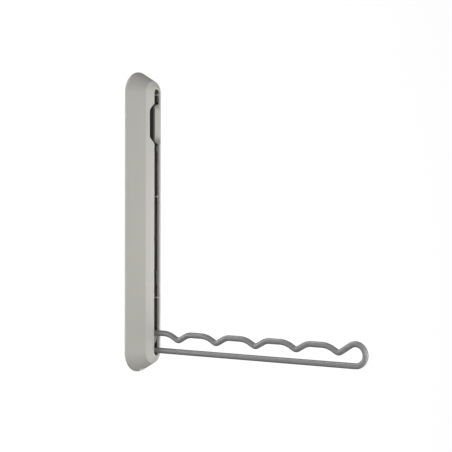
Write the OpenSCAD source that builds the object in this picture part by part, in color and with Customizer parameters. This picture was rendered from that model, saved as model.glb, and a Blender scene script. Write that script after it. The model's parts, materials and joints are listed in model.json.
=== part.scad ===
// Fold-down wall drying rack: a slim housing screwed to the wall, and one bent wire arm that
// folds up into a long slot. The origin is the middle of the housing's back, on the wall.
// X runs along the wall, +Y goes into the wall and +Z is up. The arm is drawn folded down.

/* [Housing] */
// Height of the housing
housing_h = 324; // [270:1:390]
// Width of the housing on the wall
back_w = 47; // [44:0.1:57]
// Straight band at the foot of the side faces
band_d = 1.8; // [1:0.1:3]
// Width across the two ridges between the side faces and the front facets
ridge_w = 26.6; // [25:0.2:32]
// Depth from the wall to the ridges
ridge_d = 20.6; // [19.5:0.1:24]
// Depth from the wall to the slot's lips
housing_d = 27.2; // [25:0.1:30]
// Rounding of the ridges
ridge_r = 1.6; // [0.8:0.1:2.4]
// Rounding of the slot's lips
lip_r = 1.2; // [0.4:0.1:1.4]
// Thickness of the side faces, measured along the wall
side_t = 2.9; // [2.2:0.1:3.2]
// Thickness of the front facets, measured out from the wall
facet_t = 3.3; // [2.4:0.1:3.6]

/* [Slot] */
// Width of the slot
slot_w = 9; // [8.8:0.1:10.8]
// Gap between the folded arm's tip and the slot's upper end
tip_gap = 2.5; // [1.5:0.1:6]
// Number of guide ribs in the slot
rib_count = 3; // [2:1:4]
// Distance from the slot's upper end to the highest guide rib
rib_top_in = 5.9; // [4:0.1:8]
// Height of the lowest guide rib above the hinge pin
rib_low_up = 46.3; // [40:0.1:50]
// Thickness of a guide rib
rib_t = 1.2; // [0.8:0.1:2]
// How far the flanges below the notch reach in past the facets' inner side
flange_h = 1.3; // [0.6:0.1:2]

/* [Finger notch] */
// Length of the notch along the slot
notch_len = 43; // [36:0.5:48]
// Width of the notch where it cuts the facets
notch_w = 19.3; // [17:0.1:20.5]
// Distance from the slot's upper end to the middle of the notch
notch_from_top = 36.9; // [34:0.1:40]
// Slope of the notch's end ramps, length for each unit of width
notch_ramp = 1.3; // [1:0.05:1.6]
// Depth from the wall to the foot of the scooped sides
scoop_foot_d = 18.5; // [18:0.1:19]
// Width between the feet of the scooped sides
scoop_foot_w = 11; // [10.8:0.1:12]

/* [Arm wire] */
// Diameter of the wire
wire_d = 6; // [5:0.1:6.3]
// Number of hanger notches
valley_count = 5; // [3:1:6]
// Distance from the wall to the first hanger notch
first_valley = 54.3; // [50:0.1:64]
// Depth of the hanger notches
wave_h = 6.4; // [5:0.1:6.8]
// Slope of the notch flanks
flank_a = 29; // [26:0.5:34]
// Bend radius of the wire in the notches
valley_r = 4.5; // [4:0.1:4.8]
// Bend radius of the shoulders that lead down into a notch
near_shoulder_r = 26; // [8:0.5:28]
// Bend radius of the shoulders that come up out of a notch
far_shoulder_r = 16; // [8:0.5:20]
// Radius of the end loop's middle line
loop_r = 10.85; // [10:0.05:11.4]
// Distance from the last notch to the middle of the end loop
loop_neck = 19.2; // [18:0.1:23]

/* [Hinge] */
// Depth from the wall to the hinge pin
pivot_d = 15.1; // [15.05:0.05:15.3]
// Height of the hinge pin above the slot's lower end
pivot_up = 15.8; // [15.4:0.1:17]
// Height of the straight wire below the pin
lower_drop = 10.25; // [10.1:0.05:10.5]
// Height of the waved wire's shoulders above the pin
upper_rise = 8.4; // [8.2:0.05:8.5]
// Diameter of the hinge pin
pin_d = 6; // [5:0.1:6.2]
// Wall of the flanged bushes
bush_t = 0.95; // [0.8:0.05:1.1]
// Width of the hinge knuckle
knuckle_w = 8; // [7.4:0.1:8.2]
// Radius of the knuckle's nose
nose_r = 8.5; // [8.3:0.1:8.8]
// Diameter of the stop pin
stop_d = 4; // [3.4:0.1:4.6]
// Thickness of the nylon sleeve on the stop pin
sleeve_t = 1; // [0.6:0.1:1.2]

/* [Metal and clips] */
// Thickness of the wall plate
plate_t = 2; // [1.5:0.1:2.2]
// Thickness of the hinge cheeks
cheek_t = 2; // [1.5:0.1:2.4]
// Wall of the clips that the folded arm lies between
clip_t = 1.6; // [1.2:0.1:1.7]
// Length of the lower clip along the slot
clip_len = 16.5; // [12:0.5:22]
// Length of the grip liner below the upper end of the finger notch
liner_len = 51.2; // [50:0.2:53]
// Thickness of the screwed feet of the liner and the clip
foot_t = 1.6; // [1.2:0.1:2]
// Distance of each wall screw from the housing's end
wall_screw_in = 18.5; // [17:0.5:22]
// Diameter of the wall screw holes
wall_hole_d = 5.5; // [4.5:0.1:6]

/* [Hidden] */
$fn = 48;

// Named clearances and joins
run_gap = 0.05;      // a turning fit, on the radius or between faces
side_gap = 0.4;      // the arm's wire to what it lies between
seat_gap = 0.15;     // parts of the housing beside each other
stop_gap = 0.3;      // the knuckle to its stop
fit_gap = 0.4;       // the wall plate inside the cover
loop_gap = 0.5;      // the plate's window to the folded arm's end loop
head_gap = 0.5;      // the locking screw's head in its counterbore
bite = 0.4;          // how far joined features sink into each other
cut = 1;             // how far a cut runs past a face
end_fn = 96;         // smoothness of the cover's round ends

// Housing outline, as half widths and depths from the wall
wire_r = wire_d / 2;
slot_hw = slot_w / 2;
back_hw = back_w / 2;
ridge_hw = ridge_w / 2;
tip_z = housing_h / 2;
end_z = tip_z - back_hw;
slot_top = end_z + slot_hw;
side_k = (back_hw - ridge_hw) / (ridge_d - band_d);
facet_k = (housing_d - ridge_d) / (ridge_hw - slot_hw);
function side_out(d) = ridge_hw + (ridge_d - max(d, band_d)) * side_k;
function side_in(d) = side_out(d) - side_t;
function facet_out(x) = ridge_d + (ridge_hw - x) * facet_k;
function facet_in(x) = facet_out(x) - facet_t;
inner_drop = (facet_k * side_t - facet_t) / (1 - facet_k * side_k);
inner_ridge = [ridge_hw - inner_drop * side_k - side_t, ridge_d + inner_drop];

// Arm, as points [y, z] of its middle line
pivot_y = -pivot_d;
pivot_z = pivot_up - slot_top;
low_z = pivot_z - lower_drop;
top_z = pivot_z + upper_rise;
valley_z = top_z - wave_h;
fold_shift = pivot_y + pivot_z;
reach = slot_top - tip_gap - fold_shift;
loop_y = -(reach - wire_r - loop_r);
pitch = (-loop_y - loop_neck - first_valley) / (valley_count - 1);
flank_run = (wave_h + valley_r * (1 / cos(flank_a) - 1)) / tan(flank_a);
function valley_y(i) = -first_valley - i * pitch;
function folded_z(y) = fold_shift - y;
function folded_y(z) = pivot_y + z - pivot_z;

// The end loop touches the straight wire and the line up from the last notch
loop_z = low_z + loop_r;
neck = [loop_y - valley_y(valley_count - 1), loop_z - valley_z - valley_r];
neck_a = asin((loop_r + valley_r) / norm(neck)) + atan2(neck[1], -neck[0]);
loop_turn = 180 + neck_a;

// Knuckle, measured from the pin's axis
nose_dy = 0.6;       // middle of the nose
nose_dz = 2.7;
knuckle_back = 5.5;  // flat back
upper_in = 3;        // end of the waved wire
lower_in = 2.2;      // end of the straight wire
skin = 0.8;          // metal around the wires
upper_boss = 5.5;    // how far the upper wire's socket reaches out
lower_boss = 4.5;    // how far the lower wire's socket reaches out
dowel_r = 1.25;      // the dowels that hold the wires
dowel_y = pivot_y - 0.9;

// Hinge stack along X, from the knuckle outwards
flange_t = 0.8;      // flanges of the bushes
flange_w = 1.2;
bush_apart = 0.2;    // each bush's end to the middle
washer_t = 0.7;
bush_r = pin_d / 2 + run_gap + bush_t;
flange_r = bush_r + flange_w;
flange_x = knuckle_w / 2 + flange_t;
cheek_x = flange_x + run_gap + washer_t + run_gap;
cheek_out = cheek_x + cheek_t;
stop_r = stop_d / 2 + sleeve_t;
stop_y = pivot_y + lower_in + skin + stop_gap + stop_r;
stop_drop = 0.25;    // the stop pin below the straight wire's middle line
stop_z = low_z - stop_drop;
ring_gap = 0.15;     // the retaining ring to the cheek
ring_t = 0.75;
groove_in = 0.7;
groove_r = pin_d / 2 - groove_in;

// Hinge cheeks
cheek_below = 4.8;   // the cheek's end below the stop pin
cheek_above = 11.5;  // the cheek's end above the hinge pin
cheek_lo = stop_z - cheek_below;
cheek_hi = pivot_z + cheek_above;
cheek_web_d = 12.5;  // depth of the web before the nose around the pin
pin_wall = 1.8;      // metal around the pin
foot_hw = 5;         // half the width of the foot
cheek_screw_x = cheek_out + foot_hw;
cheek_screw_up = 17; // the upper screw above the lower one
cheek_screws = [stop_z, stop_z + cheek_screw_up];

// Clips
clip_in = wire_r + side_gap;
clip_out = clip_in + clip_t;
flange_d = facet_in(slot_hw) - flange_h;
rail_d = flange_d - seat_gap;
top_rail_d = facet_in(clip_out) - seat_gap;
notch_z = slot_top - notch_from_top;
liner_hi = notch_z + notch_len / 2;
liner_lo = liner_hi - liner_len;
scoop_past = 1.5;    // how far the scoops run past the notch's ends
scoop_lo = notch_z - notch_len / 2 - scoop_past;
scoop_hi = notch_z + notch_len / 2 + scoop_past;
liner_step = scoop_lo - seat_gap;
liner_top = slot_top - rib_top_in - rib_t / 2 - seat_gap;
liner_screw_z = (liner_lo + liner_hi) / 2;
edge_r = 0.7;        // rounded edges of the clip walls
park_z = folded_z(valley_y(valley_count - 1));
park_r = valley_r - wire_r - side_gap;
park_y = folded_y(valley_z) + valley_r;
clip_lift = 4;       // the clip above the middle of the shoulder it holds
clip_mid = folded_z(valley_y(0) - pitch / 2) + clip_lift;
foot_w = 7.4;
foot_screw_x = clip_out + foot_w / 2;
small_screw = 3;
cheek_screw = 4;
screw_gap = 0.2;     // screw holes in clamped parts, on the radius

// Cover fixings
wall_screw_z = tip_z - wall_screw_in;
tab_past = 6.5;      // the plate's tabs beyond the wall screws
tab_z = wall_screw_z + tab_past;
tab_t = 2;
tab_w = 12;
lock_r = 2;
lock_head_r = 3.5;
lock_head_h = 2;
lock_seat_t = 2.3;   // plastic between the screw's head and the tab
boss_t = 1.4;        // plastic around the screw's head
tab_end = 3;         // the tabs past the locking screw
boss_r = lock_head_r + boss_t;
lock_d = plate_t + seat_gap + boss_r;
tab_d = lock_d + tab_end;
boss_z = tab_z + tab_t / 2 + seat_gap;

// Extrudes a drawing of [x, depth] upwards from z0 to z1
module up(z0, z1) {
    translate([0, 0, z0]) mirror([0, 1, 0]) linear_extrude(z1 - z0) children();
}

// Extrudes a drawing of [x, z] out from the wall, from depth d0 to depth d1
module out(d0, d1) {
    translate([0, -d0, 0]) rotate([90, 0, 0]) linear_extrude(d1 - d0) children();
}

// Extrudes a drawing of [y, z] along X from x0 to x1
module across(x0, x1) {
    translate([x0, 0, 0]) rotate([90, 0, 90]) linear_extrude(x1 - x0) children();
}

// Repeats a part on both sides of the slot
module both_sides() {
    children();
    mirror([1, 0, 0]) children();
}

// A cylinder along X at [y, z]
module x_rod(r, x0, x1, y, z) {
    translate([x0, y, z]) rotate([0, 90, 0]) cylinder(r = r, h = x1 - x0);
}

// A cylinder along Y from y0 to y1 at [x, z]
module y_rod(r, y0, y1, x, z) {
    translate([x, y0, z]) rotate([-90, 0, 0]) cylinder(r = r, h = y1 - y0);
}

// Points of an arc that rounds the corner b between a and c
function unit(v) = v / norm(v);
function rounded(a, b, c, r, n = 4) =
    let (u = unit(a - b), w = unit(c - b))
    let (half = acos(u * w) / 2)
    let (mid = b + unit(u + w) * r / sin(half))
    let (p = b + u * r / tan(half) - mid, q = b + w * r / tan(half) - mid)
    let (sweep = 180 - 2 * half, side = sign(p[0] * q[1] - p[1] * q[0]))
    [for (i = [0:n]) let (t = side * sweep * i / n)
        mid + [p[0] * cos(t) - p[1] * sin(t), p[0] * sin(t) + p[1] * cos(t)]];

// Right half of the cover's cross-section, as [x, depth]
module half_section() {
    foot = [back_hw, 0];
    band = [back_hw, band_d];
    ridge = [ridge_hw, ridge_d];
    lip = [slot_hw, housing_d];
    throat = [slot_hw, facet_in(slot_hw)];
    inner_band = [back_hw - side_t, band_d];
    inner_foot = [back_hw - side_t, 0];
    polygon(concat([foot, band], rounded(band, ridge, lip, ridge_r),
        rounded(ridge, lip, throat, lip_r), [throat, inner_ridge, inner_band, inner_foot]));
}

// One rounded end of the cover, turned about the middle of its slot end
module shell_end() {
    translate([0, 0, end_z]) rotate([90, 0, 0]) rotate_extrude(angle = 180, $fn = end_fn)
        half_section();
}

// Outline of the finger notch as [x, z], with its two end ramps
module notch_outline() {
    far = back_hw;
    lo = notch_z - notch_len / 2;
    hi = notch_z + notch_len / 2;
    climb = (far - slot_hw) * notch_ramp;
    deep = (notch_w / 2 - slot_hw) * notch_ramp;
    polygon([[0, lo], [slot_hw, lo], [notch_w / 2, lo + deep], [far, lo + deep],
        [far, hi - deep], [notch_w / 2, hi - deep], [slot_hw, hi], [0, hi]]);
}

// Cross-section that the scooped sides leave free, as [x, depth]
module scoop_section() {
    foot = scoop_foot_w / 2;
    facet = facet_out(notch_w / 2);
    lean = (notch_w / 2 - foot) / (facet - scoop_foot_d);
    low_d = scoop_foot_d - 3 * cut;
    top_d = housing_d + cut;
    polygon([[0, low_d], [foot, low_d], [foot, scoop_foot_d],
        [notch_w / 2 + (top_d - facet) * lean, top_d], [0, top_d]]);
}

// Solid back behind a scooped side of the finger notch, as [x, depth]
module scoop_back() {
    floor_t = 1.3;
    land = 1.2;
    inner = clip_out + seat_gap;
    floor_d = scoop_foot_d - floor_t;
    throat = slot_hw + land;
    polygon([
        [inner, floor_d],
        [inner_ridge[0] + side_t / 2, floor_d],
        [inner_ridge[0] + side_t / 3, inner_ridge[1] + bite],
        [throat, facet_in(throat) + bite],
        [inner, facet_in(inner) + bite]]);
}

// Flange along the slot's side below the notch, as [x, depth]
module slot_flange() {
    land = 1.6;
    out_x = slot_hw + land;
    polygon([[slot_hw, flange_d], [out_x, flange_d],
        [out_x, facet_in(out_x) + bite], [slot_hw, facet_in(slot_hw) + bite]]);
}

module front_shell() {
    rib_hi = slot_top - rib_top_in;
    rib_lo = pivot_z + rib_low_up;
    color("#b5b2ad") difference() {
        union() {
            up(-end_z, end_z) {
                half_section();
                mirror([1, 0]) half_section();
            }
            shell_end();
            mirror([0, 0, 1]) shell_end();
            both_sides() up(scoop_lo, scoop_hi) scoop_back();
            both_sides() up(-end_z, scoop_lo + bite) slot_flange();
            // Guide ribs that keep the folding arm in the middle of the slot
            for (i = [0:rib_count - 1])
                both_sides() guide_rib(rib_hi + i * (rib_lo - rib_hi) / (rib_count - 1));
            // Hook that hangs the cover on the wall plate's upper tab
            across(-tab_w / 3, tab_w / 3) shell_hook();
            // Boss for the locking screw
            intersection() {
                translate([0, -lock_d, -tip_z])
                    cylinder(r = boss_r, h = tip_z - boss_z);
                solid_end();
            }
        }
        intersection() {
            out(0, housing_d + cut) both_halves() notch_outline();
            up(scoop_lo, scoop_hi) both_halves() scoop_section();
        }
        translate([0, -lock_d, -tip_z - cut]) {
            cylinder(r = lock_r + screw_gap, h = tip_z - boss_z + 2 * cut);
            cylinder(r = lock_head_r + head_gap, h = tip_z - boss_z - lock_seat_t + cut);
        }
    }
}

// Repeats a flat drawing on both sides of the slot
module both_halves() {
    children();
    mirror([1, 0]) children();
}

// The lower end of the cover as a solid, to trim what must stay inside it
module solid_end() {
    translate([0, 0, -end_z]) rotate([90, 0, 0]) rotate_extrude($fn = end_fn)
        polygon([[0, 0], [back_hw - side_t / 2, 0], [back_hw - side_t / 2, band_d],
            [ridge_hw - side_t / 2, ridge_d], [0, ridge_d]]);
}

module guide_rib(z) {
    reach_in = 6;
    chamfer = 0.8;
    throat_d = facet_in(slot_hw);
    up(z - rib_t / 2, z + rib_t / 2) polygon([
        [clip_in, reach_in], [side_in(reach_in) + bite, reach_in],
        [inner_ridge[0] + bite, inner_ridge[1] + bite],
        [slot_hw, throat_d + bite], [slot_hw, throat_d],
        [clip_in + chamfer, throat_d], [clip_in, throat_d - chamfer]]);
}

// Hook under the plate's upper tab, as [y, z]
module shell_hook() {
    web = 2;
    hold = 4;
    front = tab_d + fit_gap;
    lip_z = tab_z - tab_t / 2 - fit_gap;
    top = end_z + side_in(front + web) + bite;
    polygon([[-front, top], [-front - web, top], [-front - web, lip_z - web],
        [-front + hold, lip_z - web], [-front + hold, lip_z], [-front, lip_z]]);
}

module wall_plate() {
    hw = back_hw - side_t - fit_gap;
    window_lo = folded_z(loop_y) - loop_r;
    window_hi = folded_z(loop_y) + loop_r + loop_gap;
    color("#8c8f92") difference() {
        union() {
            out(0, plate_t) {
                square([2 * hw, 2 * end_z], center = true);
                translate([0, end_z]) circle(r = hw);
                translate([0, -end_z]) circle(r = hw);
            }
            for (s = [-1, 1])
                translate([-tab_w / 2, -tab_d, s * tab_z - tab_t / 2]) cube([tab_w, tab_d, tab_t]);
        }
        // Window for the folded arm's end loop
        translate([-slot_hw, -plate_t - cut, window_lo])
            cube([slot_w, plate_t + 2 * cut, window_hi - window_lo]);
        for (s = [-1, 1]) {
            y_rod(wall_hole_d / 2, -plate_t - cut, cut, 0, s * wall_screw_z);
            for (z = [liner_screw_z, clip_mid])
                y_rod(small_screw / 2, -plate_t - cut, cut, s * foot_screw_x, z);
            for (z = cheek_screws)
                y_rod(cheek_screw / 2, -plate_t - cut, cut, s * cheek_screw_x, z);
        }
        translate([0, -lock_d, -tab_z - tab_t]) cylinder(r = lock_r, h = 2 * tab_t);
    }
}

// A foot that screws to the plate, beside a clip wall
module clip_foot(z0, z1, screw_z) {
    difference() {
        translate([clip_out - bite, -plate_t - foot_t, z0])
            cube([foot_w + bite, foot_t, z1 - z0]);
        y_rod(small_screw / 2 + screw_gap, -plate_t - foot_t - cut, cut, foot_screw_x, screw_z);
    }
}

// Cross-section of a clip wall from depth d0 to depth d1, as [x, depth]
module clip_wall(d0, d1) {
    polygon([[clip_in, d0], [clip_out, d0], [clip_out, d1],
        [clip_in + edge_r, d1], [clip_in, d1 - edge_r]]);
}

// Liner walls beside the folded arm, low behind the notch and high at both ends, with a parking bar
module grip_liner() {
    foot_in = 6;
    sunk = 0.1;
    low_d = scoop_foot_d - sunk;
    color("#3a3a3b") {
        both_sides() {
            up(liner_lo, liner_top) polygon(concat([[clip_out, plate_t], [clip_out, low_d]],
                rounded([clip_out, low_d], [clip_in, low_d], [clip_in, plate_t], edge_r),
                [[clip_in, plate_t]]));
            up(liner_lo, liner_step) clip_wall(low_d - bite, rail_d);
            up(scoop_hi + seat_gap, liner_top) clip_wall(low_d - bite, top_rail_d);
            clip_foot(liner_lo + foot_in, liner_hi - foot_in, liner_screw_z);
        }
        x_rod(park_r, -clip_in - bite, clip_in + bite, park_y, park_z);
    }
}

// U-shaped clip on the lowest shoulder of the folded arm
module arm_clip() {
    z0 = clip_mid - clip_len / 2;
    z1 = clip_mid + clip_len / 2;
    floor_t = -folded_y(top_z) - wire_r - side_gap - plate_t;
    color("#3a3a3b") {
        both_sides() {
            up(z0, z1) clip_wall(plate_t, rail_d);
            clip_foot(z0, z1, clip_mid);
        }
        translate([-clip_in - bite, -plate_t - floor_t, z0])
            cube([2 * (clip_in + bite), floor_t, z1 - z0]);
    }
}

// A pan-head screw that goes towards the wall, with its head's seat at depth d
module wall_side_screw(r, x, z, d) {
    head_r = 1.8 * r;
    head_h = 1.1 * r;
    slot_t = 0.4 * r;
    difference() {
        union() {
            y_rod(r, -d, 0, x, z);
            y_rod(head_r, -d - head_h, -d, x, z);
        }
        for (a = [0, 90])
            translate([x, -d - head_h, z]) rotate([0, a, 0])
                cube([2 * r, head_h, slot_t], center = true);
    }
}

module liner_screws() {
    color("#b9bcc0") both_sides()
        wall_side_screw(small_screw / 2, foot_screw_x, liner_screw_z, plate_t + foot_t);
}

module clip_screws() {
    color("#b9bcc0") both_sides()
        wall_side_screw(small_screw / 2, foot_screw_x, clip_mid, plate_t + foot_t);
}

module bracket_screws() {
    color("#b9bcc0") both_sides() for (z = cheek_screws)
        wall_side_screw(cheek_screw / 2, cheek_screw_x, z, plate_t + cheek_t);
}

// Right-hand hinge cheek with its foot turned outwards
module cheek() {
    nose = pin_d / 2 + pin_wall;
    tall = cheek_hi - cheek_lo;
    difference() {
        union() {
            translate([cheek_x, -cheek_web_d, cheek_lo])
                cube([cheek_t, cheek_web_d - plate_t, tall]);
            translate([cheek_x, pivot_y, pivot_z - nose])
                cube([cheek_t, pivot_d - cheek_web_d + bite, 2 * nose]);
            x_rod(nose, cheek_x, cheek_out, pivot_y, pivot_z);
            translate([cheek_out - bite, -plate_t - cheek_t, cheek_lo])
                cube([2 * foot_hw + bite, cheek_t, tall]);
        }
        x_rod(pin_d / 2, cheek_x - cut, cheek_out + cut, pivot_y, pivot_z);
        x_rod(stop_d / 2, cheek_x - cut, cheek_out + cut, stop_y, stop_z);
        for (z = cheek_screws)
            y_rod(cheek_screw / 2 + screw_gap, -plate_t - cheek_t - cut, cut, cheek_screw_x, z);
    }
}

module bracket_right() {
    color("#9a9da1") cheek();
}

module bracket_left() {
    color("#9a9da1") mirror([1, 0, 0]) cheek();
}

module pivot_pin() {
    head_t = 1.2;
    head_w = 1.5;
    tip_t = 1;
    tip = cheek_out + ring_gap + ring_t + tip_t;
    color("#c4c7ca") difference() {
        union() {
            x_rod(pin_d / 2, -cheek_out, tip, pivot_y, pivot_z);
            x_rod(pin_d / 2 + head_w, -cheek_out - head_t, -cheek_out, pivot_y, pivot_z);
        }
        difference() {
            x_rod(pin_d, cheek_out + ring_gap, cheek_out + ring_gap + ring_t, pivot_y, pivot_z);
            x_rod(groove_r, cheek_out, tip, pivot_y, pivot_z);
        }
    }
}

module circlip() {
    mouth = 2.4;
    ring_w = 1.4;
    x0 = cheek_out + ring_gap;
    color("#55585c") difference() {
        x_rod(pin_d / 2 + ring_w, x0, x0 + ring_t, pivot_y, pivot_z);
        x_rod(groove_r, x0 - cut, x0 + ring_t + cut, pivot_y, pivot_z);
        translate([x0 - cut, pivot_y - mouth / 2, pivot_z]) cube([ring_t + 2 * cut, mouth, pin_d]);
    }
}

// A ring on the hinge pin between a bush flange and a cheek
module pin_ring(x0, x1, outer) {
    difference() {
        x_rod(outer, x0, x1, pivot_y, pivot_z);
        x_rod(pin_d / 2 + run_gap, x0 - cut, x1 + cut, pivot_y, pivot_z);
    }
}

module friction_disc() {
    color("#6b5a48") pin_ring(-cheek_x, -cheek_x + washer_t, flange_r);
}

module wave_washer() {
    inset = 0.4;
    color("#a8abb0") pin_ring(cheek_x - washer_t, cheek_x, flange_r - inset);
}

module stop_pin() {
    color("#c4c7ca") x_rod(stop_d / 2, -cheek_out, cheek_out, stop_y, stop_z);
}

module stop_sleeve() {
    color("#e6e2d6") difference() {
        x_rod(stop_r, -cheek_x + seat_gap, cheek_x - seat_gap, stop_y, stop_z);
        x_rod(stop_d / 2, -cheek_x, cheek_x, stop_y, stop_z);
    }
}

module lock_screw() {
    slot_t = 0.8;
    seat = boss_z + lock_seat_t;
    color("#b9bcc0") difference() {
        translate([0, -lock_d, -seat]) {
            cylinder(r = lock_r, h = seat - tab_z + tab_t);
            translate([0, 0, -lock_head_h]) cylinder(r = lock_head_r, h = lock_head_h);
        }
        for (a = [0, 90])
            translate([0, -lock_d, -seat - lock_head_h]) rotate([0, 0, a])
                cube([2 * lock_r, slot_t, lock_head_h], center = true);
    }
}

// A straight stretch of wire between two points of the middle line
module wire_run(a, b) {
    across_a = atan2(b[1] - a[1], b[0] - a[0]);
    translate([0, a[0], a[1]]) rotate([across_a - 90, 0, 0]) cylinder(r = wire_r, h = norm(b - a));
}

// A bend of radius r about the point mid, from angle a0 through the angle turn, with a hair-thin
// collar at each end that joins it to the straight stretches
module wire_bend(mid, r, a0, turn) {
    collar_h = 0.2;
    collar_r = wire_r + 0.03;
    translate([0, mid[0], mid[1]]) rotate([90, 0, 90]) rotate([0, 0, a0]) {
        rotate_extrude(angle = turn) translate([r, 0]) circle(r = wire_r);
        for (a = [0, turn])
            rotate([0, 0, a]) translate([r, 0, 0]) rotate([90, 0, 0])
                cylinder(r = collar_r, h = collar_h, center = true);
    }
}

module arm_wire() {
    near_t = near_shoulder_r * tan(flank_a / 2);
    far_t = far_shoulder_r * tan(flank_a / 2);
    run = cos(flank_a);
    rise = sin(flank_a);
    color("#858585") difference() {
        union() {
            // Straight lower wire, and the loop that turns it back
            wire_run([pivot_y + lower_in, low_z], [loop_y, low_z]);
            wire_bend([loop_y, loop_z], loop_r, 90 - neck_a, loop_turn);
            for (i = [0:valley_count - 1]) {
                y = valley_y(i);
                last = i == valley_count - 1;
                mid = [y, valley_z + valley_r];
                near = y + flank_run;
                far = y - flank_run;
                out_a = last ? neck_a : flank_a;
                wire_bend(mid, valley_r, 270 - out_a, out_a + flank_a);
                // Flank, shoulder and flat top towards the wall
                wire_run(mid + valley_r * [rise, -run], [near - near_t * run, top_z - near_t * rise]);
                wire_bend([near + near_t, top_z - near_shoulder_r], near_shoulder_r, 90, flank_a);
                wire_run([near + near_t, top_z],
                    [i == 0 ? pivot_y + upper_in : valley_y(i - 1) - flank_run - far_t, top_z]);
                // Neck of the loop, or the flank and shoulder away from the wall
                if (last) {
                    wire_run(mid - valley_r * [sin(neck_a), cos(neck_a)],
                        [loop_y + loop_r * sin(neck_a), loop_z + loop_r * cos(neck_a)]);
                } else {
                    wire_run(mid - valley_r * [rise, run],
                        [far + far_t * run, top_z - far_t * rise]);
                    wire_bend([far - far_t, top_z - far_shoulder_r], far_shoulder_r,
                        90 - flank_a, flank_a);
                }
            }
        }
        cross_pins(cut);
    }
}

// The two dowels, made longer by extra at each end where they cut their holes
module cross_pins(extra) {
    half = knuckle_w / 2 + extra;
    for (z = [top_z, low_z]) x_rod(dowel_r, -half, half, dowel_y, z);
}

module wire_pins() {
    color("#c4c7ca") cross_pins(0);
}

module hinge_knuckle() {
    hw = knuckle_w / 2;
    boss_in = 3;
    color("#7d8083") difference() {
        union() {
            intersection() {
                x_rod(nose_r, -hw, hw, pivot_y + nose_dy, pivot_z + nose_dz);
                translate([-hw, pivot_y - 2 * nose_r, pivot_z - 2 * nose_r])
                    cube([knuckle_w, 2 * nose_r + knuckle_back, 4 * nose_r]);
            }
            translate([-hw, pivot_y - upper_boss, pivot_z + boss_in])
                cube([knuckle_w, upper_boss + upper_in + skin, upper_rise + wire_r + skin - boss_in]);
            translate([-hw, pivot_y - lower_boss, low_z - wire_r - skin])
                cube([knuckle_w, lower_boss + lower_in + skin, lower_drop + wire_r + skin - boss_in]);
        }
        x_rod(bush_r, -hw - cut, hw + cut, pivot_y, pivot_z);
        y_rod(wire_r, pivot_y - 2 * nose_r, pivot_y + upper_in, 0, top_z);
        y_rod(wire_r, pivot_y - 2 * nose_r, pivot_y + lower_in, 0, low_z);
        cross_pins(cut);
    }
}

// Right-hand flanged bush, pressed into the knuckle
module bush() {
    difference() {
        union() {
            x_rod(bush_r, bush_apart, knuckle_w / 2, pivot_y, pivot_z);
            x_rod(flange_r, knuckle_w / 2, flange_x, pivot_y, pivot_z);
        }
        x_rod(pin_d / 2 + run_gap, -cut, flange_x + cut, pivot_y, pivot_z);
    }
}

module bush_right() {
    color("#d9cfae") bush();
}

module bush_left() {
    color("#d9cfae") mirror([1, 0, 0]) bush();
}

front_shell();
wall_plate();
grip_liner();
liner_screws();
arm_clip();
clip_screws();
bracket_left();
bracket_right();
bracket_screws();
pivot_pin();
circlip();
friction_disc();
wave_washer();
stop_pin();
stop_sleeve();
lock_screw();
arm_wire();
hinge_knuckle();
wire_pins();
bush_left();
bush_right();
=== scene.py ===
import json
import math

import bmesh
import bpy
import numpy as np
from mathutils import Matrix, Vector


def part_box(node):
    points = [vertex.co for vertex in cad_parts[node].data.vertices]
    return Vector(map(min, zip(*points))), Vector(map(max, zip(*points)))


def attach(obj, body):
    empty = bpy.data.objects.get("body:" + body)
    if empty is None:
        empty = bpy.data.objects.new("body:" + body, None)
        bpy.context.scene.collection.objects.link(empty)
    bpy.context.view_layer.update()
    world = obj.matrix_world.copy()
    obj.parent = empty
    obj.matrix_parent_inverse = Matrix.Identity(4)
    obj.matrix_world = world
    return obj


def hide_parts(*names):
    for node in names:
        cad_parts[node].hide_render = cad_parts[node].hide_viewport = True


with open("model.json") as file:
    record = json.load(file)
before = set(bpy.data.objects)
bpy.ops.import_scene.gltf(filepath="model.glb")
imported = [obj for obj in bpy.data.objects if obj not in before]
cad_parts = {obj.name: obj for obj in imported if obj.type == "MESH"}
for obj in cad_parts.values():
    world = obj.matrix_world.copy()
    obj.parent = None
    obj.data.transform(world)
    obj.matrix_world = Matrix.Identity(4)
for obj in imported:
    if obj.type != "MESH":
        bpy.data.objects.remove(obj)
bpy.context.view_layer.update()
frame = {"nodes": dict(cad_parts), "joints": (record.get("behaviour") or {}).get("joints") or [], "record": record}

bl_info = {
    "name": "Fold-down wall rack",
    "version": (1, 0, 0),
    "blender": (4, 5, 0),
    "location": "3D View > Sidebar > Wall rack",
    "description": "Builds the visible pieces, finishes and stage of a fold-down wall drying rack",
    "category": "Object",
}

MM = 0.001
BITE = 0.4 * MM  # how far joined solids sink into each other
SHELL_LO, SHELL_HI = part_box("front_shell")
WIRE_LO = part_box("arm_wire")[0]
LOCK_LO, LOCK_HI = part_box("lock_screw")
PIVOT = Vector(frame["joints"][0]["pos_m"])
SLOTS = {part["node"]: part["material_slot"] for part in frame["record"]["subparts"]}


# ---------------- sizes and colours


def length(name, description, default_mm):
    """A size in metres, given here in millimetres."""
    return bpy.props.FloatProperty(
        name=name, description=description, default=default_mm * MM, unit="LENGTH", precision=5)


def turn(name, description, default_deg):
    """An angle in radians, given here in degrees."""
    return bpy.props.FloatProperty(
        name=name, description=description, default=math.radians(default_deg), subtype="ANGLE")


def paint(name, description, default_hex):
    """A colour as an sRGB hex value."""
    return bpy.props.StringProperty(name=name, description=description, default=default_hex)


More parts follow.
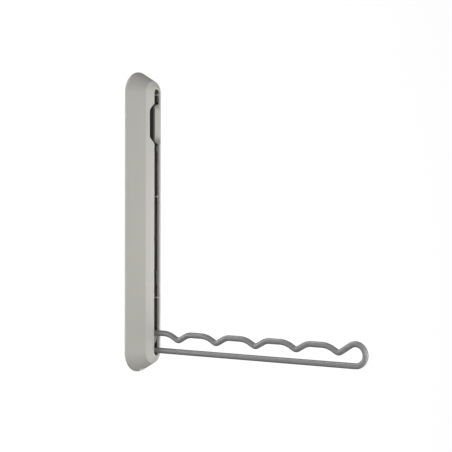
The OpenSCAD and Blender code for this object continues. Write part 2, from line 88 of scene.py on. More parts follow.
class HousingSizes(bpy.types.PropertyGroup):
    """Cross-section of the housing, its finger notch and its fixings."""
    band: length("Band", "Straight band at the foot of the side faces", 1.8)
    ridge_width: length("Ridge width", "Width across the ridges beside the front facets", 26.6)
    ridge_depth: length("Ridge depth", "Depth from the wall to the ridges", 20.6)
    lip_depth: length("Lip depth", "Depth from the wall to the slot's lips, before rounding", 27.2)
    slot_width: length("Slot width", "Width of the long slot", 9)
    side_wall: length("Side wall", "Thickness of the side faces along the wall", 2.9)
    facet_wall: length("Facet wall", "Thickness of the facets out from the wall", 3.3)
    ridge_round: length("Ridge rounding", "Radius along the ridges", 1.6)
    lip_round: length("Lip rounding", "Radius along the slot's lips", 1.2)
    band_round: length("Band rounding", "Radius between the band and the side faces", 0.9)
    foot_round: length("Foot rounding", "Radius along the edge on the wall", 0.3)
    inner_round: length("Inner rounding", "Radius along the slot's and the scoop's inner edges", 0.5)
    edge_round: length("Edge rounding", "Radius along the slot's innermost edge", 0.3)
    edge_land: length("Edge land", "Width of the slot's innermost edge", 0.9)
    ridge_share: bpy.props.FloatProperty(
        name="Ridge share", description="How far the inner ridge lies inside the outer one, for each unit "
        "of side wall", default=0.87)
    notch_top: length("Notch place", "Slot's upper end to the middle of the notch", 36.9)
    notch_length: length("Notch length", "Length of the finger notch", 43)
    notch_width: length("Notch width", "Width of the finger notch across the facets", 19.3)
    notch_ramp: bpy.props.FloatProperty(
        name="Notch ramp", description="Length of the end ramps for each unit of width", default=1.3)
    notch_round: length("Notch rounding", "How far the notch's corners are eased", 1.6)
    scoop_width: length("Scoop width", "Width between the feet of the scooped sides", 11)
    scoop_depth: length("Scoop depth", "Depth from the wall to the foot of the scoop", 18.5)
    scoop_floor: length("Scoop floor", "Depth from the wall to the underside of the scoop", 17.2)
    flange: length("Flange", "How far the slot's edge reaches in below the notch", 1.3)
    rib: length("Rib", "Thickness of the guide ribs in the slot", 1.2)
    rib_gap: length("Rib gap", "Half the gap between the ribs of a pair", 3.4)
    rib_chamfer: length("Rib chamfer", "Chamfer of the ribs beside the arm", 0.8)
    rib_foot: length("Rib foot", "Depth from the wall to the ribs' foot", 6)
    rib_top: length("Top rib", "Slot's upper end to the highest guide rib", 5.9)
    rib_low: length("Lowest rib", "Hinge pin to the lowest guide rib", 46.3)
    boss_wall: length("Boss wall", "Plastic around the locking screw's head", 1.4)
    head_height: length("Head height", "Height of the locking screw's head", 2)
    head_room: length("Head room", "Gap around the locking screw's head", 0.5)
    shank_room: length("Shank room", "Gap around the locking screw's shank", 0.2)
    boss_end: length("Boss end", "Height of the boss below the middle of the housing", 151.15)
    hook_width: length("Hook width", "Width of the hook that hangs on the plate", 8)
    hook_depth: length("Hook depth", "Depth from the wall to the hook's web", 10.45)
    hook_low: length("Hook height", "Height of the hook's lip above the middle of the housing", 148.6)
    hook_hold: length("Hook hold", "How far the hook reaches behind the plate's tab", 4)
    hook_web: length("Hook web", "Thickness of the hook", 2)
    plastic: paint("Plastic", "Colour of the housing", "#bcbab3")


class ArmSizes(bpy.types.PropertyGroup):
    """The bent wire arm."""
    wire: length("Wire", "Diameter of the wire", 6)
    first_notch: length("First notch", "Depth from the wall to the first hanger notch", 54.3)
    notch_height: length("Notch height", "Depth of the hanger notches", 6.4)
    notch_bend: length("Notch bend", "Bend radius in the notches", 4.5)
    near_bend: length("Near shoulder", "Bend radius of the shoulders that lead down into a notch", 26)
    far_bend: length("Far shoulder", "Bend radius of the shoulders that come up out of a notch", 16)
    loop_bend: length("Loop bend", "Bend radius of the end loop", 10.85)
    loop_neck: length("Loop neck", "Last notch to the middle of the end loop", 19.2)
    drop: length("Drop", "Height of the straight wire below the hinge pin", 10.25)
    rise: length("Rise", "Height of the shoulders above the hinge pin", 8.4)
    lower_end: length("Lower end", "Straight wire's end past the hinge pin", 2.2)
    upper_end: length("Upper end", "Waved wire's end past the hinge pin", 3)
    flank: turn("Flank", "Slope of the notch flanks", 29)
    notches: bpy.props.IntProperty(name="Notches", description="Number of hanger notches", default=5)
    coat: paint("Coat", "Colour of the powder coat", "#848385")


class FittingSizes(bpy.types.PropertyGroup):
    """Fasteners, springs and the easing of moulded and pressed edges."""
    small_screw: length("Small screw", "Diameter of the liner's and the clip's screws", 3)
    cheek_screw: length("Cheek screw", "Diameter of the hinge cheeks' screws", 4)
    lock_screw: length("Locking screw", "Diameter of the locking screw", 4)
    small_pitch: length("Small pitch", "Thread pitch of the small screws", 0.5)
    coarse_pitch: length("Coarse pitch", "Thread pitch of the larger screws", 0.7)
    moulded_edge: length("Moulded edge", "Easing of the moulded pieces' edges", 0.3)
    pressed_edge: length("Pressed edge", "Easing of the pressed steel edges", 0.2)
    cast_edge: length("Cast edge", "Easing of the knuckle's edges", 0.5)
    washer: length("Washer", "Thickness of the wave washer's steel", 0.3)
    washer_bore: length("Washer bore", "Diameter of the hole in the wave washer", 6.2)
    head_share: bpy.props.FloatVectorProperty(
        name="Head", description="Radius and height of a pan head for each unit of screw radius",
        default=(1.8, 1.1), size=2)
    screw_colour: paint("Screws", "Colour of the zinc-plated screws", "#b9bcc0")
    plate_colour: paint("Plate", "Colour of the zinc-plated sheet", "#808388")
    spring_colour: paint("Spring", "Colour of the blued spring steel", "#565a63")
    pin_colour: paint("Pin", "Colour of the ground pins", "#c4c7ca")
    charcoal_colour: paint("Charcoal", "Colour of the liner and the clip", "#3a3a3b")
    knuckle_colour: paint("Knuckle", "Colour of the knuckle's coat", "#7d8083")
    fibre_colour: paint("Fibre", "Colour of the friction disc", "#6b5a48")
    nylon_colour: paint("Nylon", "Colour of the stop sleeve", "#e6e2d6")
    bush_colour: paint("Bush", "Colour of the bushes", "#d9cfae")


class StageSettings(bpy.types.PropertyGroup):
    """Camera, lights and backdrop."""
    azimuth: turn("Azimuth", "Turn of the camera about the upright axis", 55.92)
    pitch: turn("Pitch", "Slope of the camera's line of sight", -1.30)
    roll: turn("Roll", "Lean of the camera", 0.17)
    place: bpy.props.FloatVectorProperty(
        name="Place", description="Place of the camera", default=(-1.2030, -0.9290, 0.0306),
        subtype="TRANSLATION")
    drop: bpy.props.FloatProperty(
        name="Drop", description="Height of the rack's middle above the floor", default=1.4, unit="LENGTH")
    lens: bpy.props.FloatProperty(
        name="Lens", description="Focal length in millimetres on a 36 mm sensor", default=111.41)
    backdrop: paint("Backdrop", "Colour behind the wall and floor", "#f7f7f7")
    wall: paint("Wall", "Colour of the wall and floor under their glow", "#5a5a5a")
    # Dark colour of the sheets behind the plate's openings: painted shade where the wall would show through.
    shade: paint("Shade", "Colour of the wall behind the plate's openings", "#101010")
    above: bpy.props.FloatProperty(
        name="Above", description="Strength of the light from above", default=0.2)
    below: bpy.props.FloatProperty(
        name="Below", description="Strength of the light from below", default=0.05)
    ring: bpy.props.FloatProperty(
        name="Ring", description="Strength of the light from all round, at the rack's height", default=0.36)
    key: bpy.props.FloatProperty(
        name="Key", description="Power of the front light", default=5.8, subtype="POWER")
    fill: bpy.props.FloatProperty(
        name="Fill", description="Power of the light beside the camera", default=3.4, subtype="POWER")
    bounce: bpy.props.FloatProperty(
        name="Bounce", description="Power of the light that the wall throws back", default=5.2,
        subtype="POWER")
    glow: bpy.props.FloatProperty(
        name="Glow", description="How much the wall and floor glow, where 1 is white", default=0.92)
    rim: bpy.props.FloatProperty(
        name="Rim", description="Power of the light that only draws highlights", default=22,
        subtype="POWER")


# ---------------- surfaces


def grid_faces(rows, columns, close_rows=False):
    """Quads between neighbouring rows and columns of a grid; the columns always close round."""
    i = np.arange(rows if close_rows else rows - 1)[:, None]
    j = np.arange(columns)[None, :]
    here, there = i * columns, (i + 1) % rows * columns
    after = (j + 1) % columns
    return np.stack([here + j, here + after, there + after, there + j], -1).reshape(-1, 4)


def capped(points):
    """A grid of rings closed at both ends by a point in the middle of the first and last ring."""
    rows, columns = points.shape[:2]
    flat = np.concatenate([points.reshape(-1, 3), points[:1].mean(1), points[-1:].mean(1)])
    j = np.arange(columns)
    after = (j + 1) % columns
    first, last = rows * columns, rows * columns + 1
    start = np.stack([np.full(columns, first), after, j], -1)
    end = np.stack([np.full(columns, last), (rows - 1) * columns + j, (rows - 1) * columns + after], -1)
    return flat, grid_faces(rows, columns).tolist() + start.tolist() + end.tolist()


def fillet(a, b, c, radius, steps=6):
    """An arc that rounds corner b between a and c: its centre lies radius / sin(half) from b on the
    corner's bisector, and its points turn evenly from one tangent point to the other."""
    straight, tiny = 0.9999, 1e-6
    u, w = a - b, c - b
    u, w = (v / np.linalg.norm(v, axis=-1, keepdims=True) for v in (u, w))
    half = np.arccos(np.clip((u * w).sum(-1, keepdims=True), -straight, straight)) / 2
    middle = (u + w) / np.maximum(np.linalg.norm(u + w, axis=-1, keepdims=True), tiny)
    centre = b + middle * radius / np.sin(half)
    start, end = (b + v * radius / np.tan(half) - centre for v in (u, w))
    sweep = np.pi - 2 * half
    share = np.linspace(0, 1, steps + 1)
    return [centre + (start * np.sin((1 - s) * sweep) + end * np.sin(s * sweep)) / np.sin(sweep)
            for s in share]


def smoothed(mesh, sharp=35):
    """The mesh with smooth shading, except over edges that turn by more than the given angle."""
    mesh.shade_smooth()
    mesh.set_sharp_from_angle(angle=math.radians(sharp))
    return mesh


def closed_mesh(name, *solids):
    """One mesh from several closed solids, each given as its points and its faces."""
    points, faces, count = [], [], 0
    for solid_points, solid_faces in solids:
        points.append(solid_points)
        faces += [[count + corner for corner in face] for face in solid_faces]
        count += len(solid_points)
    mesh = bpy.data.meshes.new(name)
    mesh.from_pydata(np.concatenate(points).tolist(), [], faces)
    return smoothed(mesh)


def carved_mesh(name, whole, joined, cut):
    """A closed solid joined with some solids and then cut by others, by exact booleans."""
    objects = [bpy.data.objects.new(part, closed_mesh(part, *solids))
               for part, solids in ((name, [whole]), ("joined", joined), ("cut", cut))]
    for obj in objects:
        bpy.context.scene.collection.objects.link(obj)
    for operation, tool in (("UNION", objects[1]), ("DIFFERENCE", objects[2])):
        step = objects[0].modifiers.new(operation, "BOOLEAN")
        step.operation, step.solver, step.object = operation, "EXACT", tool
    settled = objects[0].evaluated_get(bpy.context.evaluated_depsgraph_get())
    mesh = bpy.data.meshes.new_from_object(settled)
    for obj in objects:
        bpy.data.objects.remove(obj)
    return smoothed(mesh)


def eased_mesh(node, width):
    """A copy of a CAD node with its points merged, its flat faces whole and its outer edges eased.
    Flat faces stay flat in shading, and round faces and the eased edges are smooth."""
    flat, curved, outer = (math.radians(angle) for angle in (1, 35, 50))
    same_point = 0.001 * MM
    made = bmesh.new()
    made.from_mesh(frame["nodes"][node].data)
    bmesh.ops.remove_doubles(made, verts=made.verts, dist=same_point)
    bmesh.ops.dissolve_limit(made, angle_limit=flat, verts=made.verts, edges=made.edges)
    sharp = [edge for edge in made.edges
             if edge.is_manifold and edge.is_convex and edge.calc_face_angle() > outer]
    for face in made.faces:
        face.smooth = any(edge.is_manifold and flat < edge.calc_face_angle() < curved
                          for edge in face.edges)
    eased = bmesh.ops.bevel(made, geom=sharp, offset=width, segments=3, profile=0.5, affect="EDGES")
    for face in eased["faces"]:
        face.smooth = True
    mesh = bpy.data.meshes.new(node)
    made.to_mesh(mesh)
    made.free()
    return mesh


def piece(name, mesh, material, *replaced):
    """A finished mesh with the given material, as the piece that stands for some CAD nodes, on their body."""
    mesh.materials.clear()
    mesh.materials.append(material)
    obj = bpy.data.objects.new(name, mesh)
    bpy.context.scene.collection.objects.link(obj)
    record = frame["record"]
    body = next(b for b, nodes in record["behaviour"]["bodies"].items() if replaced[0] in nodes)
    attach(obj, body)
    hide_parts(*replaced)
    return obj


def prism(outline, low, high, place):
    """An outline of (a, b) pairs carried straight from low to high; place puts (a, b, c) in space."""
    a, b = np.array(outline).T
    ends = [np.stack(place(a, b, np.full(len(a), c)), -1) for c in (low, high)]
    n = len(a)
    sides = grid_faces(2, n)
    return np.concatenate(ends), sides.tolist() + [list(range(n))[::-1], list(range(n, 2 * n))]


# ---------------- housing


def notch_share(s, z):
    """How far the finger notch is open at height z, from 0 to 1: a straight ramp at each end, with
    its corners eased by averaging the ramp over a short window."""
    ramp = (s.notch_width - s.slot_width) / 2 * s.notch_ramp
    middle = notch_middle(s)
    inside = s.notch_length / 2 - np.abs(z - middle)

    def area(x):
        """Area under a ramp that climbs from 0 to 1 over its length."""
        return np.where(x < ramp, np.clip(x, 0, None) ** 2 / (2 * ramp), x - ramp / 2)

    return (area(inside + s.notch_round) - area(inside - s.notch_round)) / (2 * s.notch_round)


def slot_top(s):
    """Height of the slot's upper end."""
    return SHELL_HI.z - SHELL_HI.x + s.slot_width / 2


def notch_middle(s):
    """Height of the middle of the finger notch."""
    return slot_top(s) - s.notch_top


def facet_depth(s, x):
    """Depth of the front facets at half width x, on a straight line from ridge to lip."""
    slope = (s.lip_depth - s.ridge_depth) / (s.ridge_width / 2 - s.slot_width / 2)
    return s.ridge_depth + (s.ridge_width / 2 - x) * slope


def side_inner(s, depth):
    """Half width of the side faces' inner side at a depth."""
    slope = (SHELL_HI.x - s.ridge_width / 2) / (s.ridge_depth - s.band)
    return s.ridge_width / 2 + (s.ridge_depth - depth) * slope - s.side_wall


def inner_ridge(s):
    """Half width and depth of the ridge inside the wall, between the side and the facet."""
    x = s.ridge_width / 2 - s.side_wall * s.ridge_share
    return x, facet_depth(s, x) - s.facet_wall


def housing_profile(s, share, below):
    """The wall's closed cross-section as (half width, depth), one for each share of notch opening:
    up the side, over ridge, facet and lip, down the scoop, and back along the inner faces. The
    slot's edge reaches further in where below is 1."""
    scoop_rate = 3  # the scoop is whole once a third of the notch is open
    share, below = share[:, None], below[:, None]
    deep = np.clip(share * scoop_rate, 0, 1)
    deep = deep * deep * (3 - 2 * deep)

    def mix(a, b, t):
        return np.concatenate([a[0] + (b[0] - a[0]) * t, a[1] + (b[1] - a[1]) * t], 1)

    def still(x, d):
        return mix((x, d), (x, d), share)

    half, slot = s.ridge_width / 2, s.slot_width / 2
    edge = slot + (s.notch_width / 2 - slot) * share
    throat = facet_depth(s, slot) - s.facet_wall - s.flange * below
    foot = (s.scoop_width / 2, s.scoop_depth)
    corners = [
        (still(SHELL_HI.x, 0), s.foot_round),
        (still(SHELL_HI.x, s.band), s.band_round),
        (still(half, s.ridge_depth), s.ridge_round),
        (np.concatenate([edge, facet_depth(s, edge)], 1), s.lip_round),
        (mix((slot, throat + s.edge_land), foot, deep), s.inner_round),
        (mix((slot, throat), (foot[0], s.scoop_floor), deep), s.edge_round),
        (mix(inner_ridge(s), (side_inner(s, s.scoop_floor), s.scoop_floor), deep), s.inner_round),
        (still(SHELL_HI.x - s.side_wall, s.band), s.band_round),
        (still(SHELL_HI.x - s.side_wall, 0), s.foot_round),
    ]
    line = []
    for k, (corner, radius) in enumerate(corners):
        before, after = corners[k - 1][0], corners[(k + 1) % len(corners)][0]
        line += fillet(before, corner, after, radius)
    return np.stack(line, 1)


def housing_wall(s):
    """The wall's cross-section carried round the slot: straight up each side, and turned about the
    middle of each slot end, so a point at half width w and depth d lies at
    (w cos a, -d, c + w sin a) for the row's angle a and middle height c."""
    rows_below, rows_notch, rows_above, rows_end = 40, 90, 6, 66
    past_notch, tiny = 3 * MM, 1e-9
    end = SHELL_HI.z - SHELL_HI.x
    middle, reach = notch_middle(s), s.notch_length / 2 + past_notch
    heights = np.unique(np.concatenate([
        np.linspace(-end, middle - reach, rows_below),
        np.linspace(middle - reach, middle + reach, rows_notch),
        np.linspace(middle + reach, end, rows_above)]))
    arc = np.linspace(0, np.pi, rows_end)[1:-1]
    angle = np.concatenate([0 * heights, arc, 0 * heights + np.pi, arc + np.pi])
    centre = np.concatenate([heights, 0 * arc + end, heights[::-1], 0 * arc - end])
    straight = np.concatenate([0 * heights + 1, 0 * arc, 0 * heights + 1, 0 * arc])
    below = np.where((centre < middle) & (np.sin(angle) <= tiny), 1.0, 0.0)
    profile = housing_profile(s, notch_share(s, centre) * straight, below)
    w, d = profile[..., 0], profile[..., 1]
    a, c = angle[:, None], centre[:, None]
    points = np.stack([w * np.cos(a), -d, c + w * np.sin(a)], -1)
    rows, columns = w.shape
    return points.reshape(-1, 3), grid_faces(rows, columns, close_rows=True)[:, ::-1].tolist()


def guide_ribs(s):
    """Thin plates between the side walls and the slot, with a chamfered corner beside the arm."""
    slot = s.slot_width / 2
    throat = facet_depth(s, slot) - s.facet_wall
    ridge_x, ridge_depth = inner_ridge(s)
    outline = [
        (s.rib_gap, s.rib_foot), (side_inner(s, s.rib_foot) + BITE, s.rib_foot),
        (ridge_x + BITE, ridge_depth + BITE), (slot, throat + BITE), (slot, throat),
        (s.rib_gap + s.rib_chamfer, throat), (s.rib_gap, throat - s.rib_chamfer)]
    top, low = slot_top(s) - s.rib_top, PIVOT.z + s.rib_low
    ribs = []
    for z in (top, (top + low) / 2, low):
        for side in (1, -1):
            around = outline if side > 0 else [(-a, b) for a, b in outline[::-1]]
            ribs.append(prism(around, z - s.rib / 2, z + s.rib / 2, lambda a, b, c: (a, -b, c)))
    return ribs


def hook(s):
    """The hook that hangs the housing on the plate's upper tab, as an outline in depth and height."""
    front, back, low = s.hook_depth + s.hook_web, s.hook_depth, s.hook_low
    top = SHELL_HI.z - SHELL_HI.x + side_inner(s, front) + BITE
    tip, under, half = back - s.hook_hold, low - s.hook_web, s.hook_width / 2
    outline = [(back, top), (front, top), (front, under), (tip, under), (tip, low), (back, low)]
    return prism(outline, -half, half, lambda a, b, c: (c, -a, b))


def turned(rings, sides=64):
    """Rings of (radius, height) carried round an upright axis: (r cos a, r sin a, height)."""
    a = np.linspace(0, 2 * np.pi, sides, endpoint=False)
    r, h = np.array(rings).T[:, :, None]
    return np.stack([r * np.cos(a), r * np.sin(a), h + 0 * a], -1)


def screw_boss(s):
    """The boss round the locking screw. Its lower end follows the middle of the wall of the round
    end, whose height at sideways place x and wall half width w is c - sqrt(w^2 - x^2)."""
    radius = (LOCK_HI.x - LOCK_LO.x) / 2 + s.boss_wall
    points = turned([(radius, -s.boss_end), (radius, 0)])
    points[..., 1] += (LOCK_LO.y + LOCK_HI.y) / 2
    x, depth = points[1, :, 0], -points[1, :, 1]
    middle = side_inner(s, depth) + s.side_wall / 2
    points[1, :, 2] = -(SHELL_HI.z - SHELL_HI.x) - np.sqrt(middle ** 2 - x ** 2)
    return capped(points)


def screw_bore(s):
    """The stepped bore for the locking screw: wide for its head, narrow for its shank."""
    head = (LOCK_HI.x - LOCK_LO.x) / 2 + s.head_room
    shank = s.shank_room + fittings().lock_screw / 2
    seat = LOCK_LO.z + s.head_height
    points = turned([(head, SHELL_LO.z - MM), (head, seat), (shank, seat), (shank, MM - s.boss_end)])
    points[..., 1] += (LOCK_LO.y + LOCK_HI.y) / 2
    return capped(points)


def fittings():
    """The fasteners' sizes."""
    return bpy.context.scene.rack_fittings


class RACK_OT_housing(bpy.types.Operator):
    """Moulds the housing: a faceted wall carried round the slot, with its notch and ribs."""
    bl_idname = "rack.housing"
    bl_label = "Housing"

    def execute(self, context):
        s = context.scene.rack_housing
        added = guide_ribs(s) + [hook(s), screw_boss(s)]
        mesh = carved_mesh("housing_cover", housing_wall(s), added, [screw_bore(s)])
        piece("housing_cover", mesh, moulded_abs(s.plastic), "front_shell")
        return {"FINISHED"}


# ---------------- arm


def arm_line(s):
    """Middle line of the wire as (y, z) points and directions: straight out below, round the end
    loop, and back over the notches, each an arc between two sloping flanks and two shoulders."""
    arc_step, run_step = 0.6 * MM, 4 * MM
    wire_r = s.wire / 2
    low, top = PIVOT.z - s.drop, PIVOT.z + s.rise
    floor = top - s.notch_height
    loop = np.array([WIRE_LO.y + wire_r + s.loop_bend, low + s.loop_bend])
    pitch = (-loop[0] - s.loop_neck - s.first_notch) / (s.notches - 1)
    notch = [np.array([-s.first_notch - i * pitch, floor + s.notch_bend]) for i in range(s.notches)]
    run = (s.notch_height + s.notch_bend * (1 / math.cos(s.flank) - 1)) / math.tan(s.flank)
    near_ease, far_ease = (bend * math.tan(s.flank / 2) for bend in (s.near_bend, s.far_bend))
    gap = loop - notch[-1]
    neck = math.asin((s.loop_bend + s.notch_bend) / np.linalg.norm(gap)) + math.atan2(gap[1], -gap[0])
    points, ways = [], []

    def bend(middle, radius, start, sweep):
        """An arc about middle, from one angle through a sweep."""
        a = start + np.linspace(0, sweep, max(4, int(abs(sweep) * radius / arc_step)))
        points.append(middle + radius * np.stack([np.cos(a), np.sin(a)], -1))
        ways.append(np.sign(sweep) * np.stack([-np.sin(a), np.cos(a)], -1))

    def straight(start, end):
        """A straight stretch, without its two ends, which the bends hold."""
        start, end = np.array(start), np.array(end)
        steps = max(2, int(np.linalg.norm(end - start) / run_step))
        share = np.linspace(0, 1, steps + 2)[1:-1, None]
        points.append(start + (end - start) * share)
        ways.append(np.tile((end - start) / np.linalg.norm(end - start), (steps, 1)))

    right = math.pi / 2
    straight((PIVOT.y + s.lower_end, low), (loop[0], low))
    bend(loop, s.loop_bend, -right, -math.pi - neck)
    straight(points[-1][-1], notch[-1] - s.notch_bend * np.array([math.sin(neck), math.cos(neck)]))
    slope = neck
    for i in reversed(range(s.notches)):
        bend(notch[i], s.notch_bend, 3 * right - slope, slope + s.flank)
        near = notch[i][0] + run
        way = np.array([math.cos(s.flank), math.sin(s.flank)])
        straight(points[-1][-1], np.array([near, top]) - near_ease * way)
        bend(np.array([near + near_ease, top - s.near_bend]), s.near_bend, right + s.flank, -s.flank)
        if i:
            far = notch[i - 1][0] - run
            straight((near + near_ease, top), (far - far_ease, top))
            bend(np.array([far - far_ease, top - s.far_bend]), s.far_bend, right, -s.flank)
            foot = notch[i - 1] - s.notch_bend * np.array([math.sin(s.flank), math.cos(s.flank)])
            straight(points[-1][-1], foot)
            slope = s.flank
        else:
            straight((near + near_ease, top), (PIVOT.y + s.upper_end, top))
    return np.concatenate(points), np.concatenate(ways)


def tube(line, ways, radius, sides=40):
    """A round wire along a line in the YZ plane: each ring turns about the line from its sideways
    direction in the plane to X, and the ends are eased by smaller rings."""
    ease, end_share = 0.5 * MM, 0.9
    ring = np.linspace(0, 2 * np.pi, sides, endpoint=False)
    across = np.stack([-ways[:, 1], ways[:, 0]], -1)
    reach = np.concatenate([[0.0], np.cumsum(np.linalg.norm(np.diff(line, axis=0), axis=1))])
    edge = np.clip(np.minimum(reach, reach[-1] - reach) / ease, 0, 1)
    size = radius * (end_share + (1 - end_share) * np.sqrt(1 - (1 - edge) ** 2))[:, None]
    in_plane = size * np.cos(ring)
    return np.stack([
        size * np.sin(ring) * np.ones_like(in_plane),
        line[:, :1] + across[:, :1] * in_plane,
        line[:, 1:] + across[:, 1:] * in_plane], -1)


class RACK_OT_arm(bpy.types.Operator):
    """Bends the arm's wire."""
    bl_idname = "rack.arm"
    bl_label = "Arm wire"

    def execute(self, context):
        s = context.scene.rack_arm
        line, ways = arm_line(s)
        mesh = closed_mesh("arm_rod", capped(tube(line, ways, s.wire / 2)))
        piece("arm_rod", mesh, powder_coat(s.coat), "arm_wire")
        return {"FINISHED"}


# ---------------- fittings


def pan_screw(radius, head, height, length, pitch, seat, turn_to):
    """A pan-head screw as rings from crown to tip. The head is the curve r = R sin(t)^0.6,
    h = H cos(t)^0.6, sunk by a cross-shaped recess; the shank's radius falls and rises once a pitch,
    later by a pitch for each turn. turn_to puts (x, y, height over the seat) in space."""
    columns, rows, rows_a_pitch, crown, fullness = 96, 30, 8, 0.02, 0.6
    slot, arm, wall = 0.22 * radius, 0.95 * radius, 0.12 * radius
    thread, tip = 0.5 * pitch, 0.4 * pitch
    a = np.linspace(0, 2 * np.pi, columns, endpoint=False)[None, :]
    t = np.linspace(crown, np.pi / 2, rows)[:, None]
    r, h = head * np.sin(t) ** fullness, height * np.cos(t) ** fullness
    x, y = np.abs(r * np.cos(a)), np.abs(r * np.sin(a))
    inside = np.clip((slot - np.minimum(x, y)) / wall + 0.5, 0, 1)
    inside = inside * np.clip((arm - np.maximum(x, y)) / wall + 0.5, 0, 1)
    top = h * np.ones_like(a) - inside * np.minimum(h, height / 2)
    along = np.linspace(0, -length, max(24, int(rows_a_pitch * length / pitch)))[:, None]
    wave = np.abs(((along / pitch + a / (2 * np.pi)) % 1) * 2 - 1)
    edge = np.clip(np.minimum(-along, along + length) / pitch, 0, 1)
    shank = radius - thread * wave * edge
    shank = np.where(along < tip - length, radius - tip, shank)
    radii = np.concatenate([r * np.ones_like(a), shank])
    heights = np.concatenate([top, along * np.ones_like(a)])
    points, faces = capped(np.stack([radii * np.cos(a), radii * np.sin(a), heights], -1))
    points[-2, 2] = height / 2
    return np.stack(turn_to(points[:, 0], points[:, 1], points[:, 2] + seat), -1), faces


def wall_screws(node, diameter, pitch, head_size):
    """The screws of a CAD node that go towards the wall, two beside each other in each row."""
    low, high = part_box(node)
    radius = diameter / 2
    head, height = head_size[0] * radius, head_size[1] * radius
    x, seat = high.x - head, -low.y - height
    made, digits = [], 6  # heights that agree to a micrometre are one row
    for z in sorted({round(low.z + head, digits), round(high.z - head, digits)}):
        for side in (-x, x):
            made.append(pan_screw(radius, head, height, seat - high.y, pitch, seat,
                                  lambda a, b, c, side=side, z=z: (side + a, -c, z + b)))
    return closed_mesh(node, *made)


def lock_screw_mesh(s):
    """The locking screw, which goes up into the plate's lower tab."""
    head, height = (LOCK_HI.x - LOCK_LO.x) / 2, cover().head_height
    middle, seat = (LOCK_LO.y + LOCK_HI.y) / 2, LOCK_LO.z + height
    return closed_mesh("lock_screw", pan_screw(
        s.lock_screw / 2, head, height, LOCK_HI.z - seat, s.coarse_pitch, -seat,
        lambda a, b, c: (a, middle + b, -c)))


def cover():
    """The housing's sizes."""
    return bpy.context.scene.rack_housing


def wave_washer_mesh(s):
    """A thin ring whose middle rises and falls three times round: offset = reach sin(3 a)."""
    low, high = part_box("wave_washer")
    outer, pin = (high.z - low.z) / 2, s.washer_bore / 2
    middle, reach = (low.x + high.x) / 2, (high.x - low.x - s.washer) / 2
    rows, columns, waves, flatness, edge_fullness = 96, 16, 3, 0.4, 0.7
    a = np.linspace(0, 2 * np.pi, rows, endpoint=False)[:, None]
    t = np.linspace(0, 2 * np.pi, columns, endpoint=False)[None, :]
    across = np.sign(np.cos(t)) * np.abs(np.cos(t)) ** flatness
    thick = np.sign(np.sin(t)) * np.abs(np.sin(t)) ** edge_fullness
    r = (outer + pin) / 2 + (outer - pin) / 2 * across
    x = middle + reach * np.sin(waves * a) + s.washer / 2 * thick
    points = np.stack([x, PIVOT.y + r * np.cos(a), PIVOT.z + r * np.sin(a)], -1)
    faces = grid_faces(rows, columns, close_rows=True).tolist()
    return closed_mesh("wave_washer", (points.reshape(-1, 3), faces))


class RACK_OT_fittings(bpy.types.Operator):
    """Makes the screws and the spring washer, and eases the moulded, pressed and cast pieces."""
    bl_idname = "rack.fittings"
    bl_label = "Fittings"

    def execute(self, context):
        s = context.scene.rack_fittings
        screw = zinc_screw(s.screw_colour)
        for node, diameter, pitch in (("liner_screws", s.small_screw, s.small_pitch),
                                      ("clip_screws", s.small_screw, s.small_pitch),
                                      ("bracket_screws", s.cheek_screw, s.coarse_pitch)):
            piece("pan_" + node, wall_screws(node, diameter, pitch, s.head_share), screw, node)
        piece("pan_lock_screw", lock_screw_mesh(s), screw, "lock_screw")
        spring = blued_spring(s.spring_colour)
        piece("waved_washer", wave_washer_mesh(s), spring, "wave_washer")
        charcoal = moulded_charcoal(s.charcoal_colour)
        steel = pressed_zinc_plate(s.plate_colour)
        for node, width, finish in (("grip_liner", s.moulded_edge, charcoal),
                                    ("arm_clip", s.moulded_edge, charcoal),
                                    ("wall_plate", s.pressed_edge, steel),
                                    ("bracket_left", s.pressed_edge, steel),
                                    ("bracket_right", s.pressed_edge, steel),
                                    ("hinge_knuckle", s.cast_edge, cast_coat(s.knuckle_colour))):
            piece("eased_" + node, eased_mesh(node, width), finish, node)
        kept = {"pin_steel": ground_pin(s.pin_colour), "spring_steel": spring,
                "friction_fibre": pressed_fibre(s.fibre_colour), "nylon": natural_nylon(s.nylon_colour),
                "bush_acetal": turned_acetal(s.bush_colour)}
        for node, slot in SLOTS.items():
            if slot in kept:
                frame["nodes"][node].data.materials.clear()
                frame["nodes"][node].data.materials.append(kept[slot])
        return {"FINISHED"}


# ---------------- finishes


def linear(hex_colour):
    """An sRGB hex colour as linear red, green, blue and alpha."""
    channels = np.array([int(hex_colour[i:i + 2], 16) for i in (1, 3, 5)]) / 255
    low, high = channels / 12.92, ((channels + 0.055) / 1.055) ** 2.4
    return (*np.where(channels <= 0.04045, low, high).tolist(), 1.0)


def add(tree, kind, settings=None, **inputs):
    """Adds a node, with its settings, and its inputs as values or as (node, output) links."""
    node = tree.nodes.new(kind)
    for key, value in (settings or {}).items():
        setattr(node, key, value)
    for key, value in inputs.items():
        socket = node.inputs[int(key[1:])] if key[1:].isdigit() else node.inputs[key.replace("_", " ")]
        if isinstance(value, tuple) and isinstance(value[0], bpy.types.Node):
            tree.links.new(value[0].outputs[value[1]], socket)
        else:
            socket.default_value = value
    return node


def material(name):
    """An empty material, its node tree, its surface shader and the object's coordinates."""
    made = bpy.data.materials.new(name)
    made.use_nodes = True
    tree = made.node_tree
    tree.nodes.clear()
    shader = add(tree, "ShaderNodeBsdfPrincipled")
    add(tree, "ShaderNodeOutputMaterial", Surface=(shader, "BSDF"))
    place = add(tree, "ShaderNodeTexCoord")
    return made, tree, shader, (place, "Object")


